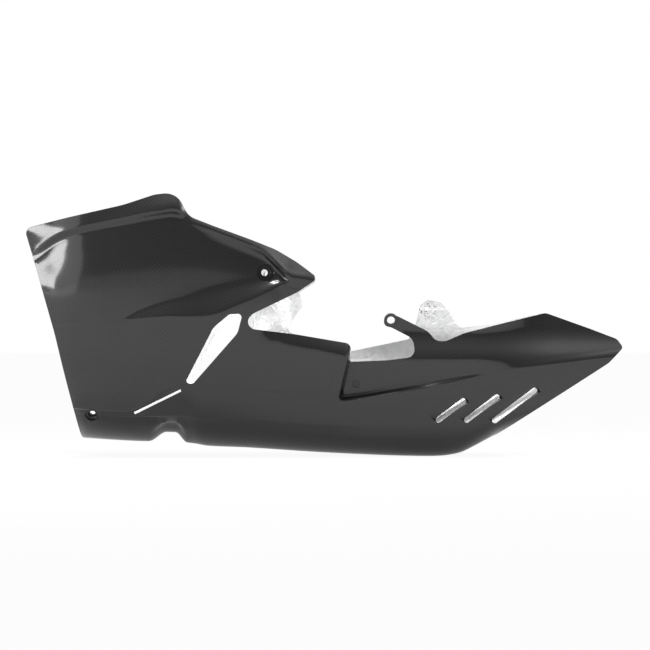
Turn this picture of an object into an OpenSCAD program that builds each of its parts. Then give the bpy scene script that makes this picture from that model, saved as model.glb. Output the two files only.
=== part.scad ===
// Motorcycle belly pan with tall front panels, louvred tails and a foil-lined right wall.
// X runs rearward, Z runs up and the left side looks towards -Y. Millimetres.

/* [Overall] */
// Length from the front edge to the tip of the tails
pan_l = 803; // [700:1:900]
// Height from the lowest point of the floor to the top of the front panels
pan_h = 355; // [310:1:400]
// Half width across the front panels, at their widest
front_half_w = 198; // [175:1:220]
// Half width across the belly, at half height
belly_half_w = 152; // [135:1:170]
// Half width across the tails, at the louvres
tail_half_w = 134; // [120:1:150]
// Half width of the flat floor
floor_half_w = 62; // [45:1:75]
// Thickness of the moulding
wall = 2; // [1.5:0.1:3]

/* [Moulded forms] */
// Height of the proud lip along the top of the front panel
lip_rise = 4; // [1:0.5:7]
// Extra height of the hump that ends the lip
hump_rise = 6; // [0:0.5:9]
// Depth of the arrowhead recess at its tip
recess_depth = 9; // [4:0.5:12]
// Height of the ramped vane under the recess
vane_rise = 8; // [3:0.5:11]
// Depth of the step behind the belly, where the tail panel starts
step_depth = 11; // [6:0.5:14]
// Depth of the transverse channel across the floor
channel_depth = 13; // [5:0.5:16]
// Inward roll of the front edge
edge_roll = 7; // [3:0.5:10]

/* [Holes] */
// Bore of the upper front bolt hole
upper_hole_d = 9; // [6:0.5:11]
// Diameter of the dish round the upper front bolt hole
upper_dish_d = 24; // [20:0.5:30]
// Depth of the dish round the upper front bolt hole
upper_dish_depth = 7; // [4:0.5:9]
// Bore of the lower front bolt hole
lower_hole_d = 7; // [5:0.5:9]
// Diameter of the dish round the lower front bolt hole
lower_dish_d = 20; // [16:0.5:24]
// Depth of the dish round the lower front bolt hole
lower_dish_depth = 6; // [3:0.5:8]
// Bore of the lug on the left tail
lug_hole_d = 10.5; // [8:0.5:12]
// Outside diameter of the ring at the end of the lug
lug_ring_d = 18.5; // [16:0.5:22]
// Thickness of the boss round the lug's bore
lug_boss_t = 4; // [3:0.5:6]
// Bore of the ear on the right tail
ear_hole_d = 7.5; // [5:0.5:10]
// Diameter of the blind dimple on the tail panel
dimple_d = 11; // [8:0.5:13]
// Depth of the blind dimple on the tail panel
dimple_depth = 1; // [0.5:0.1:1.2]

/* [Louvres and slit] */
// Width of the louvre slots
slot_w = 7.5; // [5.5:0.5:9]
// Lengths of the louvre slots, between the centres of their round ends
slot_l = [42, 51, 67];
// Depth of the louvre pockets
pocket_depth = 5; // [3:0.5:7]
// Width of the ramp that leads into each slot
ramp_w = 8; // [5:0.5:10]
// Width of the slit across the front panel
slit_w = 3; // [2:0.1:3.6]

/* [Foil] */
// Thickness of the heat foil
foil_t = 0.4; // [0.3:0.1:1]
// Bond gap between the foil and the moulding
foil_gap = 0.1; // [0.05:0.05:0.3]
// Distance that the foil stays clear of cups, louvres and small openings
foil_inset = 2; // [1:0.5:4]

/* [Hidden] */

carbon = [0.16, 0.16, 0.17];
foil_silver = [0.86, 0.87, 0.88];
// The outlines and guides below are drawn for this length and height, from a line above the keel
drawn_l = 803;
drawn_h = 355;
keel = 2;
sx = pan_l / drawn_l;
sz = pan_h / drawn_h;
function up(z) = (z + keel) * sz;
reach = 320;
arc_steps = 4;

// Straight and smooth reading of a guide, a list of [x, value] in order of x
function clamp01(v) = max(0, min(1, v));
function ease(v) = let (t = clamp01(v)) t * t * (3 - 2 * t);
function span_of(t, x, i = 0) =
    i >= len(t) - 2 || x < t[i + 1][0] ? i : span_of(t, x, i + 1);
function grade(t, i) =
    let (a = max(i - 1, 0), b = min(i + 1, len(t) - 1))
    (t[b][1] - t[a][1]) / (t[b][0] - t[a][0]);
function along(t, x) =
    let (i = span_of(t, x), h = t[i + 1][0] - t[i][0])
    let (u = clamp01((x - t[i][0]) / h))
    t[i][1] * (1 + 2 * u) * (1 - u) * (1 - u) + t[i + 1][1] * u * u * (3 - 2 * u)
    + h * (grade(t, i) * u * (1 - u) * (1 - u) - grade(t, i + 1) * u * u * (1 - u));

// Guides seen from the side: x along the pan, z above its lowest point
floor_line = [[-360, 24.5], [-300, 20.5], [-262, 18.5], [-230, 18], [-196, 16.8], [-178, 14.8],
    [-160, 12], [-103, 9.7], [-6, 3.7], [91, -0.8], [145, -2], [164, -1.6], [178, -0.2],
    [194, 3.5], [211, 12], [240, 27], [420, 88]];
top_line = [[-415, 322], [-350, 332], [-256, 354], [-224, 363], [-200, 363], [-180, 343],
    [-150, 325], [-103, 306], [-50, 286], [-10, 262], [30, 240], [420, 226]];
crease_line = [[-415, 256], [-386, 273], [-350, 295], [-265, 314], [-206, 324.5],
    [-190, 321], [-137, 299.5], [-92, 281], [-80, 274], [-52, 247], [-45, 243], [-16, 238],
    [30, 222], [100, 213], [420, 210]];
vane_top = [[-415, 176], [-320, 180], [-276, 184.5], [-251, 196], [-171, 217], [-97, 233],
    [-56, 238], [-16, 226], [30, 205], [100, 200], [420, 197]];
vane_foot = [[-415, 172], [-320, 178], [-276, 183], [-219, 188], [-155, 188], [-109, 208],
    [-66, 230], [-50, 236], [-16, 216], [30, 185], [100, 182], [420, 182]];
ledge_line = [[-360, 40], [-314, 42], [-257, 58], [-194, 88], [-120, 84], [20, 75], [45, 77],
    [125, 91], [187, 103], [236, 112], [280, 120], [341, 128], [394, 137], [420, 142]];

// Half widths of the side wall at five heights, before the moulded forms
wall_heights = [20, 110, 200, 290, 380];
width_guides = [for (i = [0 : 4]) [
    [-415, front_half_w * [0.5, 0.86, 0.95, 0.94, 0.89][i]],
    [-330, front_half_w * [0.56, 0.91, 0.99, 0.99, 0.94][i]],
    [-240, front_half_w * [0.57, 0.9, 0.99, 1, 0.96][i]],
    [-130, front_half_w * [0.55, 0.83, 0.93, 0.94, 0.9][i]],
    [-40, belly_half_w * [0.72, 1, 1.12, 1.1, 1.04][i]],
    [60, belly_half_w * [0.7, 0.97, 1.01, 0.95, 0.88][i]],
    [160, tail_half_w * [0.75, 1.04, 1.08, 1.02, 0.94][i]],
    [260, tail_half_w * [0.68, 0.98, 1.03, 0.97, 0.88][i]],
    [420, tail_half_w * [0.52, 0.8, 0.86, 0.8, 0.72][i]]]];
function base_w(x, z) =
    let (g = [for (i = [0 : 4]) [wall_heights[i], along(width_guides[i], x)]])
    along(g, z);

// Front edge and step, as lines that lean: x at a height
front_line = [[18, -328.5], [164, -362.5], [249, -386.5], [306, -403]];
function front_x(z) = lookup(z, front_line);
function step_x(z) = 17.5 + 0.227 * (z - 78);

// Rise and fall of each moulded form at a place on the wall, outward positive
function front_roll(x, z) =
    let (u = max(-12, x - front_x(z)), high = ease((z - 215) / 75))
    -edge_roll * pow(1 - clamp01((u + 12) / 30), 2)
    - (6 + 14 * high) * pow(1 - clamp01((u + 12) / 95), 2);
function lip(x, z) =
    let (up = z - along(crease_line, x), near_end = ease((x + 300) / 90))
    let (rise = lip_rise + hump_rise * near_end, stop = 1 - ease((x + 196 - 0.3 * up) / 9))
    rise * ease(up / 5) * stop * ease((x + 398) / 30)
    - 0.5 * near_end * stop * max(0, up - 12);
function chamfer(x, z) =
    let (up = z - along(crease_line, x))
    -0.85 * max(0, up) * ease((x + 192) / 8);
function arrowhead(x, z) =
    let (b = along(crease_line, x), c = along(vane_top, x), d = along(vane_foot, x))
    let (deep = recess_depth * ease((x + 200) / 120) * (1 - ease((x + 60) / 14)))
    let (tall = vane_rise * ease((x + 276) / 70) * (1 - ease((x + 150) / 60)))
    z > b ? 0
    : z > c ? -deep * ease((b - z) / 10)
    : z > d ? -deep + (deep + tall) * (c - z) / (c - d)
    : tall * (1 - ease((d - z) / 30));
function beak(x, z) =
    let (on = ease((x + 70) / 25), b = along(crease_line, x))
    -0.3 * on * max(0, b - z) * (1 - ease((b - 40 - z) / 40));
function tail_recess(x, z) =
    let (deep = step_depth * (1 - ease((x - 60) / 190)))
    -deep * ease((x - step_x(z)) / 6) * ease((z - along(ledge_line, x)) / 4);
function tail_ridge(x, z) =
    let (on = ease((x - 200) / 110), up = z - along(ledge_line, x))
    -on * (up > 0 ? 0.42 * up : 0.12 * -up);
function belly_flange(x, z) =
    let (edge = 170 - 0.165 * (x + 87), near = (1 - ease((x - step_x(z) + 4) / 4)) * ease((x + 95) / 20))
    -0.9 * max(0, min(z - edge + 5, 14)) * near * (1 - ease((z - edge - 10) / 14));
function chin_bend(x, z) =
    let (line = 58 + 0.49 * (x + 257))
    -0.3 * max(0, line - z) * (1 - ease((x + 200) / 30));
function half_w(x, z) =
    base_w(x, z) + front_roll(x, z) + lip(x, z) + chamfer(x, z) + arrowhead(x, z)
    + beak(x, z) + tail_recess(x, z) + tail_ridge(x, z) + belly_flange(x, z)
    + chin_bend(x, z);

// Stations along the pan, each named by its x at the height where the lean is nil
lean_height = 110;
lean_line = [[-362, -0.247], [-250, -0.2], [-150, 0], [20, 0.227], [200, 0.25], [412, 0.2]];
stations = [-362, -350, -326, -300, -276, -259, -247, -232, -218, -207, -197, -184, -176, -168,
    -146, -118, -88, -64, -48, -30, -4, 20, 26, 33, 56, 90, 130, 170, 210, 250, 290, 330, 370, 414];
function at_height(s, z) = s + lookup(s, lean_line) * (z - lean_height);

// Heights of the rows of one station, from the top margin down to where the floor turns
turn_rise = 34;
row_gap = 2.5;
function stepped(list, i = 0, out = []) =
    i == len(list) ? out
    : stepped(list, i + 1, concat(out, [i == 0 ? list[0] : min(list[i], out[i - 1] - row_gap)]));
function wall_rows(s) =
    let (t = along(top_line, at_height(s, 300)), b = along(crease_line, at_height(s, 270)))
    let (c = along(vane_top, at_height(s, 210)), d = along(vane_foot, at_height(s, 200)))
    let (low = along(floor_line, at_height(s, 15)) + turn_rise)
    let (e = max(along(ledge_line, at_height(s, 90)), low + 8))
    let (g = (d - 14 - e) / 3)
    concat(stepped([t, b + 5, b, b - 10, c, d, d - 14, e + 2 * g, e + g, e + 4]), [e, (e + low) / 2, low]);

// Transverse channel: how far the floor and its turns rise
function channel(x, z) =
    let (fade = clamp01((48 - z) / 16), off = x + 211 - 0.08 * z)
    let (half_in = off < 0 ? 10 + 20 * fade : 8 + 14 * fade, half_flat = 6 * fade)
    channel_depth * fade * (1 - ease((abs(off) - half_flat) / (half_in - half_flat)));

// Nodes of the skin at a depth under the outer face: the wall rows move across the pan,
// the floor moves up, and the turn between them does some of both
turn_steps = 3;
function slant(x, z) =
    let (gx = (half_w(x + 2, z) - half_w(x - 2, z)) / 4)
    let (gz = (half_w(x, z + 2) - half_w(x, z - 2)) / 4)
    min(1.8, norm([1, gx, gz]));
function wall_node(s, z, depth) =
    let (x = at_height(s, z)) [x, half_w(x, z) - depth * slant(x, z), z];
function turn_node(s, low, j, depth) =
    let (t = j / turn_steps, x = at_height(s, low), f = along(floor_line, x))
    let (w1 = half_w(x, low), m = (half_w(x, low + 8) - w1) / 8)
    let (corner = max(w1 - m * (low - f), floor_half_w + 8))
    let (flat = min(floor_half_w, corner - 8))
    let (w = (1 - t) * (1 - t) * w1 + 2 * t * (1 - t) * corner + t * t * flat)
    let (z = (1 - t) * (1 - t) * low + (1 - (1 - t) * (1 - t)) * f)
    let (xx = at_height(s, z))
    [xx, w - depth * cos(90 * t), z + channel(xx, z) + depth * sin(90 * t)];
function half_section(s, depth) =
    let (rows = wall_rows(s), low = rows[len(rows) - 1])
    let (down = [for (j = [1 : turn_steps]) turn_node(s, low, j, depth)])
    let (last = down[turn_steps - 1])
    concat([for (z = rows) wall_node(s, z, depth)], down, [[last[0], 0, last[2]]]);
function full_section(s, depth) =
    let (h = half_section(s, depth), n = len(h))
    concat([for (p = h) [p[0] * sx, -p[1], up(p[2])]],
        [for (i = [n - 2 : -1 : 0]) [h[i][0] * sx, h[i][1], up(h[i][2])]]);
function skin(depth) = [for (s = stations) full_section(s, depth)];
function right_wall(depth, rows) =
    [for (s = stations) let (h = half_section(s, depth))
        [for (i = [rows - 1 : -1 : 0]) [h[i][0] * sx, h[i][1], up(h[i][2])]]];

function unit(v) = v / norm(v);

// Closed solid between two skins of the same size
module between(outer, inner) {
    n = len(outer);
    m = len(outer[0]);
    points = [for (row = outer) each row, for (row = inner) each row];
    function o(i, k) = i * m + k;
    function q(i, k) = n * m + i * m + k;
    outside = [for (i = [0 : n - 2], k = [0 : m - 2])
        each [[o(i, k), o(i + 1, k + 1), o(i, k + 1)], [o(i, k), o(i + 1, k), o(i + 1, k + 1)]]];
    inside = [for (i = [0 : n - 2], k = [0 : m - 2])
        each [[q(i, k), q(i, k + 1), q(i + 1, k + 1)], [q(i, k), q(i + 1, k + 1), q(i + 1, k)]]];
    rims = [for (i = [0 : n - 2])
        each [[o(i, 0), q(i + 1, 0), o(i + 1, 0)], [o(i, 0), q(i, 0), q(i + 1, 0)],
            [o(i, m - 1), o(i + 1, m - 1), q(i + 1, m - 1)],
            [o(i, m - 1), q(i + 1, m - 1), q(i, m - 1)]]];
    ends = [for (k = [0 : m - 2])
        each [[o(0, k), o(0, k + 1), q(0, k + 1)], [o(0, k), q(0, k + 1), q(0, k)],
            [o(n - 1, k), q(n - 1, k + 1), o(n - 1, k + 1)],
            [o(n - 1, k), q(n - 1, k), q(n - 1, k + 1)]]];
    polyhedron(points, concat(outside, inside, rims, ends), convexity = 8);
}

// Outline from corners [x, z, radius], each corner rounded by an arc
function side_point(c) = [c[0] * sx, up(c[1])];
function rounded(c) = [for (i = [0 : len(c) - 1])
    let (p = side_point(c[i]), r = c[i][2])
    let (before = c[(i + len(c) - 1) % len(c)], after = c[(i + 1) % len(c)])
    let (u = unit(side_point(before) - p), v = unit(side_point(after) - p))
    let (half = acos(max(-1, min(1, u * v))) / 2)
    each r == 0 || half > 89 ? [p]
    : let (hub = p + unit(u + v) * r / sin(half), from = p + u * r / tan(half) - hub)
      let (turn = (u[0] * v[1] - u[1] * v[0] > 0 ? -1 : 1) * (180 - 2 * half))
      [for (j = [0 : arc_steps]) let (a = turn * j / arc_steps)
        hub + [from[0] * cos(a) - from[1] * sin(a), from[0] * sin(a) + from[1] * cos(a)]]];

front_edge = [[-328.5, 17, 16], [-362.5, 164, 400], [-386.5, 249, 300], [-404, 306, 9],
    [-345, 320.5, 400], [-270, 337.5, 150], [-228, 351.5, 40]];
hump_end = [[-199.5, 354.5, 24], [-183, 322.5, 24]];
beak_edge = [[-151, 310, 0], [-103, 292.5, 0], [-66, 278, 80], [-37.5, 261, 60], [-9, 239.5, 6]];
tail_edge = [[164, 155, 12], [188, 165.5, 60], [237, 178, 200], [299, 193, 14],
    [358, 172, 200], [396, 157.5, 12], [404, 146, 5], [384, 125, 30], [217, 17, 0], [206, -12, 0]];
left_edge = concat(front_edge, hump_end, beak_edge, [[-38, 220, 30], [-97, 191.5, 14], [-107, 180, 9],
    [-97, 171, 6], [-38, 163.7, 0], [35, 151.3, 8], [33.5, 127, 2], [82, 129, 0],
    [122, 133.5, 11], [119, 158, 16], [90, 173, 10.5], [78, 176, 7], [82.5, 193.2, 7],
    [99, 188, 0], [139, 168, 22], [150, 155, 12]], tail_edge);
// The right hump ends sooner and turns tighter than the left
hump_short = 7;
hump_tight = 8;
right_edge = concat(front_edge, [for (c = hump_end) c - [hump_short, 0, hump_tight]], beak_edge,
    [[-36, 222, 0], [-31, 204, 6], [-57, 167, 8], [-38, 163, 0], [34, 150.5, 8], [37, 140, 2],
    [118, 157, 8], [127, 181, 0],
    [133, 204, 6], [142, 211, 8], [160, 209, 8], [171, 198, 8], [186, 172, 14]],
    [for (i = [2 : len(tail_edge) - 1]) tail_edge[i]]);
window_edge = [[-110.5, 192, 5], [-117.5, 165.5, 20], [-177, 98, 4], [-189, 97, 4],
    [-149.5, 173, 22], [-128.5, 190.8, 8]];

// Extruded across the pan from y0 to y1, with the outline's x and z kept
module across(y0, y1) {
    translate([0, y1, 0]) rotate([90, 0, 0]) linear_extrude(height = y1 - y0) children();
}
module waste(edge) {
    difference() {
        translate([-pan_l, -pan_h]) square([2 * pan_l, 3 * pan_h]);
        polygon(rounded(edge));
    }
}

// Place and direction of the skin at a side-view point, for what sits square on it
function on_skin(x, z, side) = [x * sx, side * half_w(x, z), up(z)];
function outward(x, z, side) =
    let (step = 4)
    let (dx = (half_w(x + step, z) - half_w(x - step, z)) / (2 * step * sx))
    let (dz = (half_w(x, z + step) - half_w(x, z - step)) / (2 * step * sz))
    unit([-dx, side, -dz]);
module square_on(x, z, side, along_x, along_z) {
    n = outward(x, z, side);
    t = [along_x, 0, along_z];
    u = unit(t - (t * n) * n);
    v = cross(n, u);
    p = on_skin(x, z, side);
    multmatrix([[u[0], v[0], n[0], p[0]], [u[1], v[1], n[1], p[1]], [u[2], v[2], n[2], p[2]]])
        children();
}

// Dished bolt hole: the cup stands behind the skin, the bore goes through its floor
upper_at = [-80, 247];
lower_at = [-314, 54];
tuck = 0.8;
module cup(at, side, d, depth) {
    square_on(at[0], at[1], side, 1, 0)
        translate([0, 0, -depth - wall]) cylinder(h = depth + wall - tuck, d = d + 2 * wall, $fn = 48);
}
module dish_and_bore(at, side, d, depth, bore) {
    square_on(at[0], at[1], side, 1, 0) {
        translate([0, 0, -depth * 0.55]) cylinder(h = depth + 10, d = d, $fn = 48);
        translate([0, 0, -depth]) cylinder(h = depth, d = d * 0.62, $fn = 48);
        translate([0, 0, -depth - wall - 5]) cylinder(h = depth + wall + 10, d = bore, $fn = 48);
    }
}

// Louvre: a ramp sinks from the upper left to a slot along its foot
slot_rise = 37.5;
slot_at = [[170.2, 61], [212.2, 63.5], [256.7, 67.5]];
pocket_over = 6;
module pocket(i, side, grow) {
    foot = slot_w / 2 + 0.6 + grow;
    back = -slot_w / 2 - ramp_w - (grow > 0 ? grow + 1 : 0);
    top = grow > 0 ? -tuck : 6;
    square_on(slot_at[i][0], slot_at[i][1], side, cos(slot_rise), sin(slot_rise))
        mirror([0, side > 0 ? 1 : 0, 0])
            translate([-slot_l[i] / 2 - pocket_over - grow, 0, 0]) rotate([90, 0, 90])
                linear_extrude(height = slot_l[i] + 2 * pocket_over + 2 * grow)
                    polygon([[-back, -grow], [-foot, -pocket_depth - grow], [-foot, top], [-back, top]]);
}
module slot(i, side) {
    across(side > 0 ? 0 : -reach, side > 0 ? reach : 0)
        translate(side_point(slot_at[i])) rotate(slot_rise) {
            square([slot_l[i], slot_w], center = true);
            for (e = [-1, 1]) translate([e * slot_l[i] / 2, 0]) circle(d = slot_w, $fn = 32);
        }
}

slit_from = [-257, 57.5];
slit_to = [-194, 88.5];
module slit_cut(grow) {
    run = side_point(slit_to) - side_point(slit_from);
    across(-reach, reach)
        translate(side_point(slit_from)) rotate(atan2(run[1], run[0]))
            translate([-grow, -slit_w / 2 - grow]) square([norm(run) + 2 * grow, slit_w + 2 * grow]);
}

lug_at = [89, 183];
ear_at = [142, 199];
dimple_at = [42, 97];

module pan_shell() {
    color(carbon)
    difference() {
        union() {
            difference() {
                between(skin(0), skin(wall));
                across(-reach, 1) waste(left_edge);
                across(-1, reach) waste(right_edge);
                across(-reach, reach) polygon(rounded(window_edge));
            }
            for (side = [-1, 1]) {
                cup(upper_at, side, upper_dish_d, upper_dish_depth);
                cup(lower_at, side, lower_dish_d, lower_dish_depth);
                for (i = [0 : len(slot_l) - 1]) pocket(i, side, wall);
            }
            square_on(lug_at[0], lug_at[1], -1, 1, 0)
                translate([0, 0, -lug_boss_t + 0.6]) cylinder(h = lug_boss_t, d = lug_ring_d, $fn = 48);
        }
        for (side = [-1, 1]) {
            dish_and_bore(upper_at, side, upper_dish_d, upper_dish_depth, upper_hole_d);
            dish_and_bore(lower_at, side, lower_dish_d, lower_dish_depth, lower_hole_d);
            for (i = [0 : len(slot_l) - 1]) {
                pocket(i, side, 0);
                slot(i, side);
            }
            square_on(dimple_at[0], dimple_at[1], side, 1, 0)
                translate([0, 0, -dimple_depth]) cylinder(h = 10, d = dimple_d, $fn = 32);
        }
        slit_cut(0);
        square_on(lug_at[0], lug_at[1], -1, 1, 0)
            translate([0, 0, -10]) cylinder(h = 20, d = lug_hole_d, $fn = 48);
        square_on(ear_at[0], ear_at[1], 1, 1, 0)
            translate([0, 0, -10]) cylinder(h = 20, d = ear_hole_d, $fn = 48);
    }
}

// The foil lies on the inner face of the whole right wall, down to where the floor turns
foil_rows = 15;
module heat_foil() {
    color(foil_silver)
    difference() {
        between(right_wall(wall + foil_gap, foil_rows), right_wall(wall + foil_gap + foil_t, foil_rows));
        across(0, reach) waste(right_edge);
        across(0, reach) polygon(rounded(window_edge));
        slit_cut(foil_inset);
        foil_hole(ear_at, ear_hole_d - 2 * wall);
        foil_hole(upper_at, upper_dish_d);
        foil_hole(lower_at, lower_dish_d);
        for (i = [0 : len(slot_l) - 1]) pocket(i, 1, wall + foil_inset);
    }
}
module foil_hole(at, d) {
    square_on(at[0], at[1], 1, 1, 0)
        translate([0, 0, -15]) cylinder(h = 20, d = d + 2 * wall + 2 * foil_inset, $fn = 48);
}

pan_shell();
heat_foil();
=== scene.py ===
"""Motorcycle belly pan: clear-coated plain-weave carbon, with crinkled heat foil on the right wall.

The camera looks at the left side, as the photograph does. Sizes are in millimetres, in the
drawn frame of the solid model, and become metres above the keel where a mesh is made.
"""

import math

import bmesh
import bpy
import numpy as np
from mathutils import Matrix, Vector


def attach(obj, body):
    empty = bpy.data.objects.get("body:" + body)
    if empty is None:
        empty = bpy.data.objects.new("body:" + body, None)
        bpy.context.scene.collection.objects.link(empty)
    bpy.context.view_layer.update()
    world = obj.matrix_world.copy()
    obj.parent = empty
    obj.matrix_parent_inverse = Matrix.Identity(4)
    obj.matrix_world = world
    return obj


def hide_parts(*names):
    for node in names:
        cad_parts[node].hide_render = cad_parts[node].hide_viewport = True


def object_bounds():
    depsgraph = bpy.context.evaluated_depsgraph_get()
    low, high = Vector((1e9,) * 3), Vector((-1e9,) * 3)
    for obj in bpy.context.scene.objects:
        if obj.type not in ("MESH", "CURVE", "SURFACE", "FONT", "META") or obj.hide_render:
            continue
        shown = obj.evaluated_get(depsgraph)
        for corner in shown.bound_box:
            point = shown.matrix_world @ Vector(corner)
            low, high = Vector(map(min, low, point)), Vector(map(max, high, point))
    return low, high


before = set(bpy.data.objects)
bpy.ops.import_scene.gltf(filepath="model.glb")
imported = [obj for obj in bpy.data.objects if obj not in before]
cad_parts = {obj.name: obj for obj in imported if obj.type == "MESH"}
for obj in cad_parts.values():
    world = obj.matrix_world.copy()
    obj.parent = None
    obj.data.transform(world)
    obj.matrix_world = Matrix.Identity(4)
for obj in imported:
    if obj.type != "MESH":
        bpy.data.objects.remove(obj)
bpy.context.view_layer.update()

MM = 0.001
KEEL = 2.0

# Driving sizes, as in the solid model
WALL = 2.0
FRONT_HALF_W = 198.0
BELLY_HALF_W = 152.0
TAIL_HALF_W = 134.0
FLOOR_HALF_W = 62.0
LIP_RISE = 4.0
HUMP_RISE = 6.0
RECESS_DEPTH = 9.0
VANE_RISE = 8.0
STEP_DEPTH = 11.0
CHANNEL_DEPTH = 13.0
EDGE_ROLL = 7.0
UPPER_HOLE_D, UPPER_DISH_D, UPPER_DISH_DEPTH = 9.0, 24.0, 7.0
LOWER_HOLE_D, LOWER_DISH_D, LOWER_DISH_DEPTH = 7.0, 20.0, 6.0
LUG_HOLE_D, LUG_RING_D, LUG_BOSS_T = 10.5, 18.5, 4.0
EAR_HOLE_D = 7.5
DIMPLE_D, DIMPLE_DEPTH = 11.0, 1.0
SLOT_W = 7.5
SLOT_L = [42.0, 51.0, 67.0]
POCKET_DEPTH = 5.0
RAMP_W = 8.0
SLIT_W = 3.0
FOIL_T = 0.4
FOIL_GAP = 0.1

# Places, as in the solid model
UPPER_AT, LOWER_AT = (-80, 247), (-314, 54)
LUG_AT, EAR_AT, DIMPLE_AT = (89, 183), (142, 199), (42, 97)
SLOT_AT = [(170.2, 61), (212.2, 63.5), (256.7, 67.5)]
SLOT_RISE = 37.5
SLIT_FROM, SLIT_TO = (-257, 57.5), (-194, 88.5)
POCKET_OVER = 6.0
TUCK = 0.8
REACH = 320.0
BORE_REACH = 10.0
STEP_AT, STEP_FOOT, STEP_LEAN = 17.5, 78.0, 0.227
LEFT, RIGHT = -1, 1

# Guides seen from the side: x, then height
FLOOR_LINE = [(-360, 24.5), (-300, 20.5), (-262, 18.5), (-230, 18), (-196, 16.8),
              (-178, 14.8), (-160, 12), (-103, 9.7), (-6, 3.7), (91, -0.8), (145, -2),
              (164, -1.6), (178, -0.2), (194, 3.5), (211, 12), (240, 27), (420, 88)]
TOP_LINE = [(-415, 322), (-350, 332), (-256, 354), (-224, 363), (-200, 363), (-180, 343),
            (-150, 325), (-103, 306), (-50, 286), (-10, 262), (30, 240), (420, 226)]
CREASE_LINE = [(-415, 256), (-386, 273), (-350, 295), (-265, 314), (-206, 324.5),
               (-190, 321), (-137, 299.5), (-92, 281), (-80, 274), (-52, 247), (-45, 243),
               (-16, 238), (30, 222), (100, 213), (420, 210)]
VANE_TOP = [(-415, 176), (-320, 180), (-276, 184.5), (-251, 196), (-171, 217), (-97, 233),
            (-56, 238), (-16, 226), (30, 205), (100, 200), (420, 197)]
VANE_FOOT = [(-415, 172), (-320, 178), (-276, 183), (-219, 188), (-155, 188), (-109, 208),
             (-66, 230), (-50, 236), (-16, 216), (30, 185), (100, 182), (420, 182)]
LEDGE_LINE = [(-360, 40), (-314, 42), (-257, 58), (-194, 88), (-120, 84), (20, 75), (45, 77),
              (125, 91), (187, 103), (236, 112), (280, 120), (341, 128), (394, 137), (420, 142)]
FRONT_LINE = [(18, -328.5), (164, -362.5), (249, -386.5), (306, -403)]
WALL_HEIGHTS = (20, 110, 200, 290, 380)
WIDTH_STATIONS = (-415, -330, -240, -130, -40, 60, 160, 260, 420)
WIDTH_SCALE = [FRONT_HALF_W] * 4 + [BELLY_HALF_W] * 2 + [TAIL_HALF_W] * 3
WIDTH_SHARES = [(0.5, 0.86, 0.95, 0.94, 0.89), (0.56, 0.91, 0.99, 0.99, 0.94),
                (0.57, 0.9, 0.99, 1, 0.96), (0.55, 0.83, 0.93, 0.94, 0.9),
                (0.72, 1, 1.12, 1.1, 1.04), (0.7, 0.97, 1.01, 0.95, 0.88),
                (0.75, 1.04, 1.08, 1.02, 0.94), (0.68, 0.98, 1.03, 0.97, 0.88),
                (0.52, 0.8, 0.86, 0.8, 0.72)]

# Outlines seen from the side: x, height, corner radius
FRONT_EDGE = [(-328.5, 17, 16), (-362.5, 164, 400), (-386.5, 249, 300), (-404, 306, 9),
              (-345, 320.5, 400), (-270, 337.5, 150), (-228, 351.5, 40)]
LEFT_HUMP = [(-199.5, 354.5, 24), (-183, 322.5, 24)]
RIGHT_HUMP = [(-206.5, 354.5, 16), (-190, 322.5, 16)]
BEAK_EDGE = [(-151, 310, 0), (-103, 292.5, 0), (-66, 278, 80), (-37.5, 261, 60),
             (-9, 239.5, 6)]
TAIL_EDGE = [(164, 155, 12), (188, 165.5, 60), (237, 178, 200), (299, 193, 14),
             (358, 172, 200), (396, 157.5, 12), (404, 146, 5), (384, 125, 30), (217, 17, 0),
             (206, -12, 0)]
LEFT_EDGE = FRONT_EDGE + LEFT_HUMP + BEAK_EDGE + [
    (-38, 220, 30), (-97, 191.5, 14), (-107, 180, 9), (-97, 171, 6), (-38, 163.7, 0),
    (35, 151.3, 8), (33.5, 127, 2), (82, 129, 0), (122, 133.5, 11), (119, 158, 16),
    (90, 173, 10.5), (78, 176, 7), (82.5, 193.2, 7), (99, 188, 0), (139, 168, 22),
    (150, 155, 12)] + TAIL_EDGE
RIGHT_EDGE = FRONT_EDGE + RIGHT_HUMP + BEAK_EDGE + [
    (-36, 222, 0), (-31, 204, 6), (-57, 167, 8), (-38, 163, 0), (34, 150.5, 8),
    (37, 140, 2), (118, 157, 8), (127, 181, 0), (133, 204, 6), (142, 211, 8),
    (160, 209, 8), (171, 198, 8), (186, 172, 14)] + TAIL_EDGE[2:]
WINDOW_EDGE = [(-110.5, 192, 5), (-117.5, 165.5, 20), (-177, 98, 4), (-189, 97, 4),
               (-149.5, 173, 22), (-128.5, 190.8, 8)]


# Reading of guides
def clamp01(v):
    """Kept between 0 and 1."""
    return np.clip(v, 0.0, 1.0)


def ease(v):
    """Soft step from 0 to 1."""
    t = clamp01(v)
    return t * t * (3 - 2 * t)


def ramp(v, start, run):
    """Soft step from 0 to 1, from a place and over a run."""
    return ease((v - start) / run)


def picked(values, i):
    """Value of a knot for every place: knots may hold one value, or one for each place."""
    if values.ndim == 1:
        return values[i]
    return np.take_along_axis(values, i[None], 0)[0]


def hermite(knots, values, x):
    """Smooth curve through knots; the slope at each comes from its neighbours."""
    n = len(knots)
    low = np.maximum(np.arange(n) - 1, 0)
    high = np.minimum(np.arange(n) + 1, n - 1)
    span = (knots[high] - knots[low]).reshape((-1,) + (1,) * (values.ndim - 1))
    grades = (values[high] - values[low]) / span
    i = np.clip(np.searchsorted(knots, x, side="right") - 1, 0, n - 2)
    h = knots[i + 1] - knots[i]
    u = clamp01((x - knots[i]) / h)
    ends = picked(values, i) * (1 + 2 * u) * (1 - u) ** 2
    ends = ends + picked(values, i + 1) * u * u * (3 - 2 * u)
    turns = picked(grades, i) * u * (1 - u) ** 2 - picked(grades, i + 1) * u * u * (1 - u)
    return ends + h * turns


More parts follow.
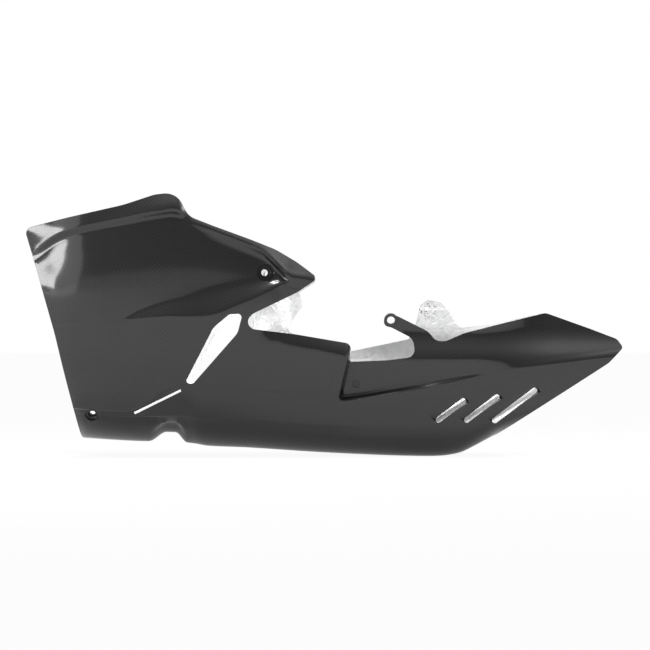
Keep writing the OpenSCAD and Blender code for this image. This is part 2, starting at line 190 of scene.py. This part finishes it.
def along(guide, x):
    """Height of a guide at x."""
    knots, values = np.array(guide, float).T
    return hermite(knots, values, np.asarray(x, float))


def base_w(x, z):
    """Half width of the plain wall, before the moulded forms."""
    x, z = np.broadcast_arrays(np.asarray(x, float), np.asarray(z, float))
    knots = np.array(WIDTH_STATIONS, float)
    levels = []
    for shares in zip(*WIDTH_SHARES):
        values = np.array([s * share for s, share in zip(WIDTH_SCALE, shares)])
        levels.append(hermite(knots, values, x))
    return hermite(np.array(WALL_HEIGHTS, float), np.array(levels), z)


# Moulded forms of the side wall, outward positive
def front_x(z):
    """The front edge's place at a height."""
    heights, places = np.array(FRONT_LINE, float).T
    return np.interp(z, heights, places)


def step_x(z):
    """The step's place at a height, where the tail panel begins."""
    return STEP_AT + STEP_LEAN * (z - STEP_FOOT)


def front_roll(x, z):
    """The wall turns in at the front edge: a short roll on a longer one, deeper high up."""
    start, short, long = -12, 30, 95
    u = np.maximum(start, x - front_x(z))
    high = ramp(z, 215, 75)
    return (-EDGE_ROLL * (1 - clamp01((u - start) / short)) ** 2
            - (6 + 14 * high) * (1 - clamp01((u - start) / long)) ** 2)


def lip(x, z):
    """Raised band over the crease, highest at the hump, where it stops."""
    up = z - along(CREASE_LINE, x)
    near_end = ramp(x, -300, 90)
    rise = LIP_RISE + HUMP_RISE * near_end
    stop = 1 - ease((x + 196 - 0.3 * up) / 9)
    fall = 0.5 * near_end * stop * np.maximum(0, up - 12)
    return rise * ease(up / 5) * stop * ramp(x, -398, 30) - fall


def chamfer(x, z):
    """Sloping face over the crease, from the hump back to the beak."""
    up = z - along(CREASE_LINE, x)
    return -0.85 * np.maximum(0, up) * ramp(x, -192, 8)


def arrowhead(x, z):
    """Recess under the crease, a ramp down to the vane, and the vane's run-out."""
    b, c, d = along(CREASE_LINE, x), along(VANE_TOP, x), along(VANE_FOOT, x)
    deep = RECESS_DEPTH * ramp(x, -200, 120) * (1 - ramp(x, -60, 14))
    tall = VANE_RISE * ramp(x, -276, 70) * (1 - ramp(x, -150, 60))
    panel = -deep * ease((b - z) / 10)
    sloped = -deep + (deep + tall) * (c - z) / (c - d)
    below = tall * (1 - ease((d - z) / 30))
    return np.where(z > b, 0, np.where(z > c, panel, np.where(z > d, sloped, below)))


def beak(x, z):
    """The beak narrows under its crease."""
    on = ramp(x, -70, 25)
    b = along(CREASE_LINE, x)
    return -0.3 * on * np.maximum(0, b - z) * (1 - ease((b - 40 - z) / 40))


def tail_recess(x, z):
    """The tail panel lies deeper than the belly, behind the step and over the ledge."""
    deep = STEP_DEPTH * (1 - ramp(x, 60, 190))
    return -deep * ramp(x, step_x(z), 6) * ramp(z, along(LEDGE_LINE, x), 4)


def tail_ridge(x, z):
    """The ledge becomes a ridge towards the tail's tip."""
    on = ramp(x, 200, 110)
    up = z - along(LEDGE_LINE, x)
    return -on * np.where(up > 0, 0.42 * up, -0.12 * up)


def belly_flange(x, z):
    """The belly's top edge rolls in."""
    edge = 170 - 0.165 * (x + 87)
    near = (1 - ramp(x - step_x(z), -4, 4)) * ramp(x, -95, 20)
    return -0.9 * np.clip(z - edge + 5, 0, 14) * near * (1 - ramp(z - edge, 10, 14))


def chin_bend(x, z):
    """The front panel's foot bends in, under the line of the slit."""
    line = 58 + 0.49 * (x + 257)
    return -0.3 * np.maximum(0, line - z) * (1 - ramp(x, -200, 30))


FORMS = [base_w, front_roll, lip, chamfer, arrowhead, beak, tail_recess, tail_ridge,
         belly_flange, chin_bend]


def half_w(x, z):
    """Half width of the outer face."""
    return sum(form(x, z) for form in FORMS)


# The skin as a fine grid: stations along the pan, rows from one top margin to the other
LEAN_HEIGHT = 110.0
LEAN = [(-362, -0.247), (-250, -0.2), (-150, 0), (20, 0.227), (200, 0.25), (412, 0.2)]
TURN_RISE = 34.0
TURN_ROWS = 8
FLOOR_ROWS = 3


def at_height(s, z):
    """A station's x at a height: stations lean with the front edge and the step."""
    knots, leans = np.array(LEAN, float).T
    return s + np.interp(s, knots, leans) * (z - LEAN_HEIGHT)


def stations():
    """Places along the pan, closer together at the hump's end, the beak and the step."""
    coarse = np.arange(-362.0, 414.1, 4.0)
    step = np.arange(14.0, 34.0, 1.2)
    tip = np.arange(-70.0, -40.0, 2.0)
    stop = np.arange(-206.0, -176.0, 2.0)
    return np.unique(np.round(np.concatenate([coarse, step, tip, stop]), 1))


def row_heights(s):
    """Heights of the wall rows of every station, closer together near the creases."""
    crease = along(CREASE_LINE, at_height(s, 270))
    ledge = along(LEDGE_LINE, at_height(s, 90))
    low = along(FLOOR_LINE, at_height(s, 15)) + TURN_RISE
    marks = [along(TOP_LINE, at_height(s, 300)), crease + 8, crease - 10,
             along(VANE_TOP, at_height(s, 210)) + 3, along(VANE_FOOT, at_height(s, 200)) - 4,
             ledge + 8, ledge - 3, low]
    counts = [9, 9, 11, 9, 14, 7, 14]
    for i in range(1, len(marks) - 1):
        marks[i] = np.minimum(marks[i], marks[i - 1] - 3)
    for i in range(len(marks) - 2, 0, -1):
        marks[i] = np.maximum(marks[i], low + 4 * (len(marks) - 1 - i))
    rows = []
    for i, n in enumerate(counts):
        for j in range(n):
            rows.append(marks[i] + (marks[i + 1] - marks[i]) * j / n)
    rows.append(low)
    return np.array(rows).T


def channel(x, z):
    """How far the floor and its turns rise in the transverse channel."""
    fade = clamp01((48 - z) / 16)
    off = x + 211 - 0.08 * z
    half_in = np.where(off < 0, 10 + 20 * fade, 8 + 14 * fade)
    half_flat = 6 * fade
    return CHANNEL_DEPTH * fade * (1 - ease((np.abs(off) - half_flat) / (half_in - half_flat)))


def slant(x, z):
    """How much thicker the wall is across the pan than square through itself."""
    gx = (half_w(x + 2, z) - half_w(x - 2, z)) / 4
    gz = (half_w(x, z + 2) - half_w(x, z - 2)) / 4
    return np.minimum(1.8, np.sqrt(1 + gx * gx + gz * gz))


def half_skin(depth):
    """One side at a depth under the outer face: walls move across the pan, the floor up."""
    s = stations()
    z = row_heights(s)
    x = at_height(s[:, None], z)
    wall = np.stack([x, half_w(x, z) - depth * slant(x, z), z], -1)
    low = z[:, -1]
    t = np.arange(1, TURN_ROWS + 1)[None] / TURN_ROWS
    x_low = at_height(s, low)
    f = along(FLOOR_LINE, x_low)
    w_low = half_w(x_low, low)
    lean = (half_w(x_low, low + 8) - w_low) / 8
    corner = np.maximum(w_low - lean * (low - f), FLOOR_HALF_W + 8)[:, None]
    flat = np.minimum(FLOOR_HALF_W, corner - 8)
    w = (1 - t) ** 2 * w_low[:, None] + 2 * t * (1 - t) * corner + t * t * flat
    zt = (1 - t) ** 2 * low[:, None] + (1 - (1 - t) ** 2) * f[:, None]
    xt = at_height(s[:, None], zt)
    turned = t * math.pi / 2
    turn = np.stack([xt, w - depth * np.cos(turned),
                     zt + channel(xt, zt) + depth * np.sin(turned)], -1)
    share = 1 - np.arange(1, FLOOR_ROWS + 1)[None, :, None] / FLOOR_ROWS
    last = turn[:, -1:, :]
    floor = last * np.array([1, 0, 1]) + share * last * np.array([0, 1, 0])
    return np.concatenate([wall, turn, floor], 1)


def soften(grid, passes=2):
    """Rounds the creases a little, the way a moulding's are."""
    out = grid.copy()
    for _ in range(passes):
        out[:, 1:-1, 1] = 0.5 * out[:, 1:-1, 1] + 0.25 * (out[:, :-2, 1] + out[:, 2:, 1])
        out[1:-1, :, 1] = 0.5 * out[1:-1, :, 1] + 0.25 * (out[:-2, :, 1] + out[2:, :, 1])
    return out


def full_skin(depth):
    """Both sides at a depth under the outer face, rounded at the creases."""
    half = half_skin(depth)
    left = half * np.array([1, -1, 1])
    right = half[:, -2::-1]
    return soften(np.concatenate([left, right], 1))


def right_wall(depth):
    """The right half of the skin, from the middle of the floor's turn up to the top."""
    full = full_skin(depth)
    rows = full.shape[1] // 2 + 1 - FLOOR_ROWS - TURN_ROWS // 2
    return full[:, -rows:]


# Meshes
def linked(name, mesh):
    obj = bpy.data.objects.new(name, mesh)
    bpy.context.scene.collection.objects.link(obj)
    return obj


def object_of(name, verts, faces):
    """Object in metres above the keel, from points in the drawn frame."""
    mesh = bpy.data.meshes.new(name)
    lift = Vector((0, 0, KEEL))
    mesh.from_pydata([(Vector(v) + lift) * MM for v in verts], [], faces)
    mesh.update()
    return linked(name, mesh)


def between(name, outer, inner):
    """Closed solid between two skins of the same size."""
    n, m = outer.shape[:2]
    verts = np.concatenate([outer.reshape(-1, 3), inner.reshape(-1, 3)])
    verts = (verts + np.array([0, 0, KEEL])) * MM
    i, k = np.meshgrid(np.arange(n - 1), np.arange(m - 1), indexing="ij")
    a = (i * m + k).ravel()
    b, c, d = a + m, a + m + 1, a + 1
    s = n * m
    out = np.stack([a, b, c, d], 1)
    ins = np.stack([a, d, c, b], 1) + s
    i = np.arange(n - 1)
    rim0 = np.stack([i * m, i * m + s, (i + 1) * m + s, (i + 1) * m], 1)
    e = m - 1
    rim1 = np.stack([i * m + e, (i + 1) * m + e, (i + 1) * m + e + s, i * m + e + s], 1)
    k = np.arange(m - 1)
    end0 = np.stack([k, k + 1, k + 1 + s, k + s], 1)
    last = (n - 1) * m
    end1 = np.stack([last + k, last + k + s, last + k + 1 + s, last + k + 1], 1)
    faces = np.concatenate([out, ins, rim0, rim1, end0, end1])
    mesh = bpy.data.meshes.new(name)
    mesh.vertices.add(len(verts))
    mesh.vertices.foreach_set("co", verts.ravel())
    mesh.loops.add(faces.size)
    mesh.loops.foreach_set("vertex_index", faces.ravel())
    mesh.polygons.add(len(faces))
    mesh.polygons.foreach_set("loop_start", np.arange(0, faces.size, 4))
    mesh.update(calc_edges=True)
    mesh.validate()
    return closed(linked(name, mesh))


def rounded(corners, steps=10):
    """Points of an outline whose corners are rounded by arcs."""
    out = []
    for i, (x, z, r) in enumerate(corners):
        p = np.array([x, z], float)
        before = np.array(corners[i - 1][:2], float) - p
        after = np.array(corners[(i + 1) % len(corners)][:2], float) - p
        u, v = before / np.linalg.norm(before), after / np.linalg.norm(after)
        half = math.acos(max(-1, min(1, float(u @ v)))) / 2
        if r == 0 or half > math.radians(89):
            out.append(p)
            continue
        hub = p + (u + v) / np.linalg.norm(u + v) * r / math.sin(half)
        start = p + u * r / math.tan(half) - hub
        side = -1 if u[0] * v[1] - u[1] * v[0] > 0 else 1
        turn = side * (math.pi - 2 * half)
        for j in range(steps + 1):
            a = turn * j / steps
            out.append(hub + np.array([start[0] * math.cos(a) - start[1] * math.sin(a),
                                       start[0] * math.sin(a) + start[1] * math.cos(a)]))
    return out


def prism_faces(n):
    """Faces of a prism from its two end outlines, one after the other."""
    faces = [tuple(range(n)), tuple(range(2 * n - 1, n - 1, -1))]
    return faces + [(i, i + n, (i + 1) % n + n, (i + 1) % n) for i in range(n)]


def across(name, outline, y0, y1):
    """Prism across the pan from y0 to y1, with the outline's x and height."""
    verts = [(p[0], y, p[1]) for y in (y0, y1) for p in outline]
    return closed(object_of(name, verts, prism_faces(len(outline))))


def closed(obj):
    """Triangles only, with every face pointing out."""
    bm = bmesh.new()
    bm.from_mesh(obj.data)
    bmesh.ops.triangulate(bm, faces=bm.faces[:])
    bmesh.ops.recalc_face_normals(bm, faces=bm.faces[:])
    bm.to_mesh(obj.data)
    bm.free()
    return obj


def outward(x, z, side, step=4.0):
    """Direction straight out of a wall."""
    dx = (half_w(x + step, z) - half_w(x - step, z)) / (2 * step)
    dz = (half_w(x, z + step) - half_w(x, z - step)) / (2 * step)
    return Vector((-float(dx), side, -float(dz))).normalized()


def square_on(x, z, side, along_x, along_z):
    """Matrix of a place on the skin: first axis along the wall, third axis out of it."""
    n = outward(x, z, side)
    t = Vector((along_x, 0, along_z))
    u = (t - n * t.dot(n)).normalized()
    v = n.cross(u)
    m = Matrix((u, v, n)).transposed().to_4x4()
    m.translation = Vector((x, side * float(half_w(x, z)), z))
    return m


def placed(name, verts, faces, m):
    """Closed solid from points given in a place's own axes."""
    return closed(object_of(name, [m @ Vector(v) for v in verts], faces))


def rod(name, m, d, low, high, sides=64):
    """Round solid square on the wall, from one height over it to another."""
    angles = [2 * math.pi * i / sides for i in range(sides)]
    ring = [(d / 2 * math.cos(a), d / 2 * math.sin(a)) for a in angles]
    verts = [(p[0], p[1], end) for end in (low, high) for p in ring]
    return placed(name, verts, prism_faces(sides), m)


def pocket(name, i, side, grow):
    """Ramp that sinks from the upper left to a slot along its foot."""
    foot = -(SLOT_W / 2 + 0.6 + grow)
    start = SLOT_W / 2 + RAMP_W + (grow + 1 if grow > 0 else 0)
    top = -TUCK if grow > 0 else 6
    half = SLOT_L[i] / 2 + POCKET_OVER + grow
    profile = [(start, -grow), (foot, -POCKET_DEPTH - grow), (foot, top), (start, top)]
    turn = math.radians(SLOT_RISE)
    m = square_on(*SLOT_AT[i], side, math.cos(turn), math.sin(turn))
    flip = -1 if side > 0 else 1
    verts = [(x, flip * p[0], p[1]) for x in (-half, half) for p in profile]
    return placed(name, verts, prism_faces(len(profile)), m)


def slot(name, i, side):
    """Round-ended louvre slot, cut straight across one side."""
    turn = math.radians(SLOT_RISE)
    cx, cz = SLOT_AT[i]
    pts = []
    for end in (-1, 1):
        for j in range(17):
            a = turn + math.radians(90 if end < 0 else -90) + math.pi * j / 16
            pts.append((cx + end * SLOT_L[i] / 2 * math.cos(turn) + SLOT_W / 2 * math.cos(a),
                        cz + end * SLOT_L[i] / 2 * math.sin(turn) + SLOT_W / 2 * math.sin(a)))
    return across(name, pts, -REACH if side < 0 else 0, 0 if side < 0 else REACH)


def slit(name):
    """Straight slit under the window, cut straight across both sides."""
    (x0, z0), (x1, z1) = SLIT_FROM, SLIT_TO
    run = math.hypot(x1 - x0, z1 - z0)
    nx, nz = -(z1 - z0) / run * SLIT_W / 2, (x1 - x0) / run * SLIT_W / 2
    pts = [(x0 - nx, z0 - nz), (x1 - nx, z1 - nz), (x1 + nx, z1 + nz), (x0 + nx, z0 + nz)]
    return across(name, pts, -REACH, REACH)


def combine(obj, tool, operation):
    """Adds, cuts or keeps with a closed tool, which is then removed."""
    mod = obj.modifiers.new("cut", "BOOLEAN")
    mod.operation = operation
    mod.solver = "MANIFOLD"
    mod.object = tool
    graph = bpy.context.evaluated_depsgraph_get()
    mesh = bpy.data.meshes.new_from_object(obj.evaluated_get(graph))
    obj.modifiers.clear()
    old = obj.data
    obj.data = mesh
    bpy.data.meshes.remove(old)
    bpy.data.objects.remove(tool)
    return obj


def joined(tools):
    """One closed tool from several."""
    whole = tools[0]
    for tool in tools[1:]:
        combine(whole, tool, "UNION")
    return whole


def dish_tools(at, side, d, depth, bore):
    """Cuts of a bolt hole: a dish, its narrower floor and the bore."""
    m = square_on(*at, side, 1, 0)
    return [rod("dish", m, d, -0.55 * depth, BORE_REACH),
            rod("dish_floor", m, d * 0.62, -depth, 1),
            rod("bore", m, bore, -depth - WALL - 5, BORE_REACH)]


def ear_bore():
    return rod("ear_bore", square_on(*EAR_AT, RIGHT, 1, 0), EAR_HOLE_D, -BORE_REACH, BORE_REACH)


DISHES = [(UPPER_AT, UPPER_DISH_D, UPPER_DISH_DEPTH, UPPER_HOLE_D),
          (LOWER_AT, LOWER_DISH_D, LOWER_DISH_DEPTH, LOWER_HOLE_D)]


def backs(side, grow):
    """The cups and pockets behind the skin, grown by a distance."""
    tools = []
    for at, d, depth, _ in DISHES:
        m = square_on(*at, side, 1, 0)
        tools.append(rod("cup", m, d + 2 * grow, -depth - grow, -TUCK))
    for i in range(len(SLOT_L)):
        tools.append(pocket("pocket_back", i, side, grow))
    return tools


def smooth(obj, degrees):
    """Smooth shading, with edges sharper than an angle left sharp."""
    obj.data.shade_smooth()
    obj.data.set_sharp_from_angle(angle=math.radians(degrees))


def make_pan():
    """The moulding: skin, outline, window, cups and pockets behind it, then the cuts."""
    pan = between("pan_body", full_skin(0), full_skin(WALL))
    keep = joined([across("keep", rounded(LEFT_EDGE), -REACH, 1),
                   across("keep_right", rounded(RIGHT_EDGE), -1, REACH)])
    combine(pan, keep, "INTERSECT")
    combine(pan, across("window", rounded(WINDOW_EDGE), -REACH, REACH), "DIFFERENCE")
    lug = square_on(*LUG_AT, LEFT, 1, 0)
    boss = rod("boss", lug, LUG_RING_D, -LUG_BOSS_T + 0.6, 0.6)
    combine(pan, joined(backs(LEFT, WALL) + backs(RIGHT, WALL) + [boss]), "UNION")
    cuts = [slit("slit"), rod("lug_bore", lug, LUG_HOLE_D, -BORE_REACH, BORE_REACH), ear_bore()]
    for side in (LEFT, RIGHT):
        for dish in DISHES:
            cuts += dish_tools(dish[0], side, *dish[1:])
        for i in range(len(SLOT_L)):
            cuts += [pocket("pocket", i, side, 0), slot("slot", i, side)]
        dimple = square_on(*DIMPLE_AT, side, 1, 0)
        cuts.append(rod("dimple", dimple, DIMPLE_D, -DIMPLE_DEPTH, 9))
    combine(pan, joined(cuts), "DIFFERENCE")
    smooth(pan, 32)
    return pan


def make_foil():
    """Foil bonded to the inner face of the right wall, wrapped over its cups and pockets."""
    near, far = WALL + FOIL_GAP, WALL + FOIL_GAP + FOIL_T
    foil = between("foil_sheet", right_wall(near), right_wall(far))
    combine(foil, across("keep_foil", rounded(RIGHT_EDGE), 0, REACH), "INTERSECT")
    combine(foil, joined(backs(RIGHT, far)), "UNION")
    cuts = backs(RIGHT, near)
    cuts += [across("window", rounded(WINDOW_EDGE), 0, REACH), slit("slit"), ear_bore()]
    for at, _, depth, bore in DISHES:
        m = square_on(*at, RIGHT, 1, 0)
        cuts.append(rod("bore", m, bore, -depth - far - 5, BORE_REACH))
    combine(foil, joined(cuts), "DIFFERENCE")
    smooth(foil, 40)
    return foil


# Materials
TOW = 0.0026
WEAVE_DARK = (0.0015, 0.0015, 0.0017)
WEAVE_PALE = (0.0185, 0.0185, 0.0193)
PAINTED_SHADE_REACH = 0.018
DIMPLE_SHADE = -0.95
EDGE_ROUND = 0.0009
PITTED_REACH = 0.019
FOIL_DULL = (0.80, 0.81, 0.82)
FOIL_BRIGHT = (0.96, 0.96, 0.96)
PIT_GREY = (0.12, 0.12, 0.12)


def material(name):
    mat = bpy.data.materials.new(name)
    mat.use_nodes = True
    nodes, links = mat.node_tree.nodes, mat.node_tree.links
    return mat, nodes, links, nodes["Principled BSDF"]


def math_node(nodes, links, kind, a, b=None, c=None):
    """Result of one sum; each part is a number or another node's output."""
    node = nodes.new("ShaderNodeMath")
    node.operation = kind
    for i, v in enumerate((a, b, c)):
        if v is None:
            continue
        if isinstance(v, (int, float)):
            node.inputs[i].default_value = v
        else:
            links.new(v, node.inputs[i])
    return node.outputs[0]


def split_of(nodes, links, vector):
    node = nodes.new("ShaderNodeSeparateXYZ")
    links.new(vector, node.inputs[0])
    return node.outputs


def blended(nodes, links, share, low, high):
    """Colour between two others."""
    mix = nodes.new("ShaderNodeMix")
    mix.data_type = "RGBA"
    links.new(share, mix.inputs["Factor"])
    mix.inputs["A"].default_value = (*low, 1)
    mix.inputs["B"].default_value = (*high, 1)
    return mix.outputs["Result"]


def maths(nodes, links):
    """Short form of math_node for one node tree."""
    def m(kind, a, b=None, c=None):
        return math_node(nodes, links, kind, a, b, c)
    return m


def distance_to(m, place, at):
    """Distance, seen from the side, to a place of the drawn frame."""
    from_x = m("SUBTRACT", place[0], at[0] * MM)
    from_z = m("SUBTRACT", place[2], (at[1] + KEEL) * MM)
    return m("SQRT", m("ADD", m("MULTIPLY", from_x, from_x), m("MULTIPLY", from_z, from_z)))


def weave(m, place, facing):
    """Plain weave of rounded tows: where one runs over, how high it is, and its tone."""
    flat = m("GREATER_THAN", m("ABSOLUTE", facing[2]), 0.8)
    over_y = m("MULTIPLY", place[1], flat)
    over_z = m("MULTIPLY", place[2], m("SUBTRACT", 1.0, flat))
    u = m("DIVIDE", place[0], TOW)
    v = m("DIVIDE", m("ADD", over_y, over_z), TOW)
    parity = m("MODULO", m("ADD", m("ADD", m("FLOOR", u), m("FLOOR", v)), 4000.0), 2.0)
    over = m("ROUND", parity)
    rib_u = m("ABSOLUTE", m("SINE", m("MULTIPLY", u, math.pi)))
    rib_v = m("ABSOLUTE", m("SINE", m("MULTIPLY", v, math.pi)))
    under = m("SUBTRACT", 1.0, over)
    height = m("ADD", m("MULTIPLY", rib_u, over), m("MULTIPLY", rib_v, under))
    seam = m("SQRT", m("MULTIPLY", rib_u, rib_v))
    tone = m("ADD", m("MULTIPLY", over, 0.35), m("MULTIPLY", seam, 0.65))
    return over, height, tone


def carbon():
    """Plain weave under a clear coat, with painted shade darkening it in hollows, and darker in the
    dimples.
    """
    mat, nodes, links, shader = material("clear_coated_carbon")
    place = split_of(nodes, links, nodes.new("ShaderNodeTexCoord").outputs["Object"])
    facing = split_of(nodes, links, nodes.new("ShaderNodeNewGeometry").outputs["Normal"])
    m = maths(nodes, links)
    over, height, tone = weave(m, place, facing)
    # Painted shade: an ambient-occlusion node darkens the base colour in hollows, creases, dishes,
    # pockets and under the lip, where shade falls.
    painted_shade_ao = nodes.new("ShaderNodeAmbientOcclusion")
    painted_shade_ao.samples = 6
    painted_shade_ao.inputs["Distance"].default_value = PAINTED_SHADE_REACH
    unshaded_share = m("MULTIPLY_ADD", m("POWER", painted_shade_ao.outputs["AO"], 2.0), 0.9, 0.1)
    dimpled = m("LESS_THAN", distance_to(m, place, DIMPLE_AT), DIMPLE_D / 2 * MM)
    shade = m("MULTIPLY", unshaded_share, m("MULTIPLY_ADD", dimpled, DIMPLE_SHADE, 1.0))
    colour = blended(nodes, links, m("MULTIPLY", tone, shade), WEAVE_DARK, WEAVE_PALE)
    links.new(colour, shader.inputs["Base Color"])
    links.new(m("ADD", m("MULTIPLY", over, 0.12), 0.34), shader.inputs["Roughness"])
    edge = nodes.new("ShaderNodeBevel")
    edge.samples = 4
    edge.inputs["Radius"].default_value = EDGE_ROUND
    bump = nodes.new("ShaderNodeBump")
    bump.inputs["Strength"].default_value = 0.25
    bump.inputs["Distance"].default_value = 0.0002
    links.new(height, bump.inputs["Height"])
    links.new(edge.outputs[0], bump.inputs["Normal"])
    links.new(bump.outputs[0], shader.inputs["Normal"])
    links.new(edge.outputs[0], shader.inputs["Coat Normal"])
    shader.inputs["Coat Weight"].default_value = 1.0
    shader.inputs["Coat IOR"].default_value = 1.5
    shader.inputs["Coat Roughness"].default_value = 0.1
    shader.inputs["Specular IOR Level"].default_value = 0.15
    return mat


def dark_specks_near_ear(nodes, links, coords):
    """1 in the small dark specks round the ear's hole."""
    place = split_of(nodes, links, coords)
    m = maths(nodes, links)
    away = distance_to(m, place, (EAR_AT[0] - 3, EAR_AT[1]))
    near = m("SUBTRACT", 1.0, m("DIVIDE", away, PITTED_REACH))
    specks = nodes.new("ShaderNodeTexNoise")
    specks.inputs["Scale"].default_value = 420.0
    specks.inputs["Detail"].default_value = 2.0
    links.new(coords, specks.inputs["Vector"])
    share = m("MULTIPLY_ADD", specks.outputs["Fac"], 12.0, -7.6)
    return m("MINIMUM", m("MAXIMUM", m("ADD", share, near), 0.0), m("GREATER_THAN", near, 0.0))


def foil_finish():
    """Thin aluminium foil, creased by hand as it was pressed on."""
    mat, nodes, links, shader = material("crinkled_foil")
    coords = nodes.new("ShaderNodeTexCoord").outputs["Object"]
    creases = nodes.new("ShaderNodeTexVoronoi")
    creases.feature = "DISTANCE_TO_EDGE"
    creases.inputs["Scale"].default_value = 70.0
    dents = nodes.new("ShaderNodeTexNoise")
    dents.inputs["Scale"].default_value = 130.0
    dents.inputs["Detail"].default_value = 4.0
    links.new(coords, creases.inputs["Vector"])
    links.new(coords, dents.inputs["Vector"])
    fold = math_node(nodes, links, "MINIMUM", creases.outputs["Distance"], 0.12)
    height = math_node(nodes, links, "MULTIPLY_ADD", fold, 3.0, dents.outputs["Fac"])
    bump = nodes.new("ShaderNodeBump")
    bump.inputs["Strength"].default_value = 0.7
    bump.inputs["Distance"].default_value = 0.0012
    links.new(height, bump.inputs["Height"])
    links.new(bump.outputs[0], shader.inputs["Normal"])
    shade = math_node(nodes, links, "MULTIPLY_ADD", dents.outputs["Fac"], 3.0, -0.7)
    bright = blended(nodes, links, shade, FOIL_DULL, FOIL_BRIGHT)
    pits = dark_specks_near_ear(nodes, links, coords)
    colour = blended(nodes, links, pits, FOIL_BRIGHT, PIT_GREY)
    links.new(bright, colour.node.inputs["A"])
    links.new(colour, shader.inputs["Base Color"])
    shader.inputs["Metallic"].default_value = 0.12
    shader.inputs["Roughness"].default_value = 0.36
    return mat


# Camera, at the photograph's viewing angle, and how bright the room and the floor are
PX = 1.347
PHOTO_SIDE = 650
CAMERA_BACK = 8000.0
NEAR_PLANE = -150.0
EYE_Z = 178.5
ROOM_DIM = 0.15
CEILING = 0.45
WORLD_LIGHT = 0.68
FLOOR_GLOW = 0.93
FLOOR_GLINT = 0.3
FLOOR_REACH = 30
FLOOR_DROP = 0.0002

# Lamps: name, place, the point they face, size and power
LAMPS = [("front_box", (-2.6, -1.8, 0.5), (-0.38, -0.19, 0.28), (2.55, 0.46), 52),
         ("side_box", (-1.6, -2.6, 0.45), (-0.3, -0.19, 0.2), (1.2, 1.8), 9),
         ("top", (0.05, -0.4, 2.3), (0.0, 0.1, 0.15), (0.5, 0.5), 26),
         ("back_right", (2.2, 1.3, 0.7), (0.2, 0.0, 0.1), (1.4, 1.0), 14)]


def make_camera():
    cam = bpy.data.cameras.new("camera")
    cam.sensor_width = 36.0
    cam.lens = 36.0 * CAMERA_BACK / (PHOTO_SIDE * PX)
    cam.clip_start, cam.clip_end = 0.1, 60.0
    obj = bpy.data.objects.new("camera", cam)
    obj.location = Vector((0, NEAR_PLANE - CAMERA_BACK, EYE_Z)) * MM
    obj.rotation_euler = (math.radians(90), 0, 0)
    bpy.context.scene.collection.objects.link(obj)
    bpy.context.scene.camera = obj


def area(name, at, look, size, power):
    """Soft lamp that faces a point."""
    lamp = bpy.data.lights.new(name, "AREA")
    lamp.shape = "RECTANGLE"
    lamp.size, lamp.size_y = size
    lamp.energy = power
    obj = bpy.data.objects.new(name, lamp)
    obj.location = at
    obj.rotation_euler = (Vector(look) - Vector(at)).to_track_quat("-Z", "Y").to_euler()
    bpy.context.scene.collection.objects.link(obj)


def seen_ray(nodes, links):
    """1 for a ray that shows the background to the camera or through glass, 1 for gloss."""
    path = nodes.new("ShaderNodeLightPath").outputs
    straight = math_node(nodes, links, "MAXIMUM", path["Is Camera Ray"],
                         path["Is Transmission Ray"])
    return straight, path["Is Glossy Ray"]


def make_world():
    """White behind the object, and a dim room behind the camera for the gloss to show."""
    world = bpy.data.worlds.new("studio")
    bpy.context.scene.world = world
    world.use_nodes = True
    nodes, links = world.node_tree.nodes, world.node_tree.links
    straight, glossy = seen_ray(nodes, links)
    toward = split_of(nodes, links, nodes.new("ShaderNodeTexCoord").outputs["Generated"])
    behind = nodes.new("ShaderNodeMapRange")
    behind.interpolation_type = "SMOOTHSTEP"
    links.new(toward[1], behind.inputs["Value"])
    behind.inputs["From Min"].default_value = -0.5
    behind.inputs["From Max"].default_value = 0.5
    behind.inputs["To Min"].default_value = ROOM_DIM
    behind.inputs["To Max"].default_value = 1.0
    ceiling = math_node(nodes, links, "MAXIMUM", toward[2], 0.0)
    room = math_node(nodes, links, "MULTIPLY_ADD", ceiling, CEILING, behind.outputs["Result"])
    gloss = math_node(nodes, links, "MULTIPLY", glossy, room)
    soft = math_node(nodes, links, "SUBTRACT", 1.0, glossy)
    rest = math_node(nodes, links, "MULTIPLY_ADD", soft, WORLD_LIGHT, gloss)
    strength = math_node(nodes, links, "MAXIMUM", straight, rest)
    links.new(strength, nodes["Background"].inputs["Strength"])
    nodes["Background"].inputs["Color"].default_value = (1, 1, 1, 1)


def make_floor():
    """Pale floor that reads as white and keeps a light shadow."""
    verts = [(x * FLOOR_REACH, y * FLOOR_REACH, 0) for x, y in ((-1, -1), (1, -1), (1, 1), (-1, 1))]
    mesh = bpy.data.meshes.new("floor")
    mesh.from_pydata([Vector(v) for v in verts], [], [(0, 1, 2, 3)])
    floor = linked("floor", mesh)
    floor.location.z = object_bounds()[0][2] - FLOOR_DROP
    mat, nodes, links, shader = material("pale_floor")
    shader.inputs["Base Color"].default_value = (0.9, 0.9, 0.9, 1)
    shader.inputs["Roughness"].default_value = 0.9
    shader.inputs["Specular IOR Level"].default_value = 0.0
    straight, glossy = seen_ray(nodes, links)
    glow = nodes.new("ShaderNodeEmission")
    mix = nodes.new("ShaderNodeMixShader")
    gloss = math_node(nodes, links, "MULTIPLY", glossy, FLOOR_GLINT)
    seen = math_node(nodes, links, "MAXIMUM", straight, gloss)
    share = math_node(nodes, links, "MULTIPLY", seen, FLOOR_GLOW)
    links.new(share, mix.inputs["Fac"])
    links.new(shader.outputs[0], mix.inputs[1])
    links.new(glow.outputs[0], mix.inputs[2])
    links.new(mix.outputs[0], nodes["Material Output"].inputs["Surface"])
    mesh.materials.append(mat)


def dressed(piece, node, mat):
    """Gives a piece its material, puts it under the root body and hides the solid it stands for."""
    piece.data.materials.clear()
    piece.data.materials.append(mat)
    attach(piece, "root")
    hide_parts(node)


bpy.context.scene.view_settings.view_transform = "Standard"
make_camera()
make_world()
for row in LAMPS:
    area(*row)
make_floor()
dressed(make_pan(), "pan_shell", carbon())
dressed(make_foil(), "heat_foil", foil_finish())
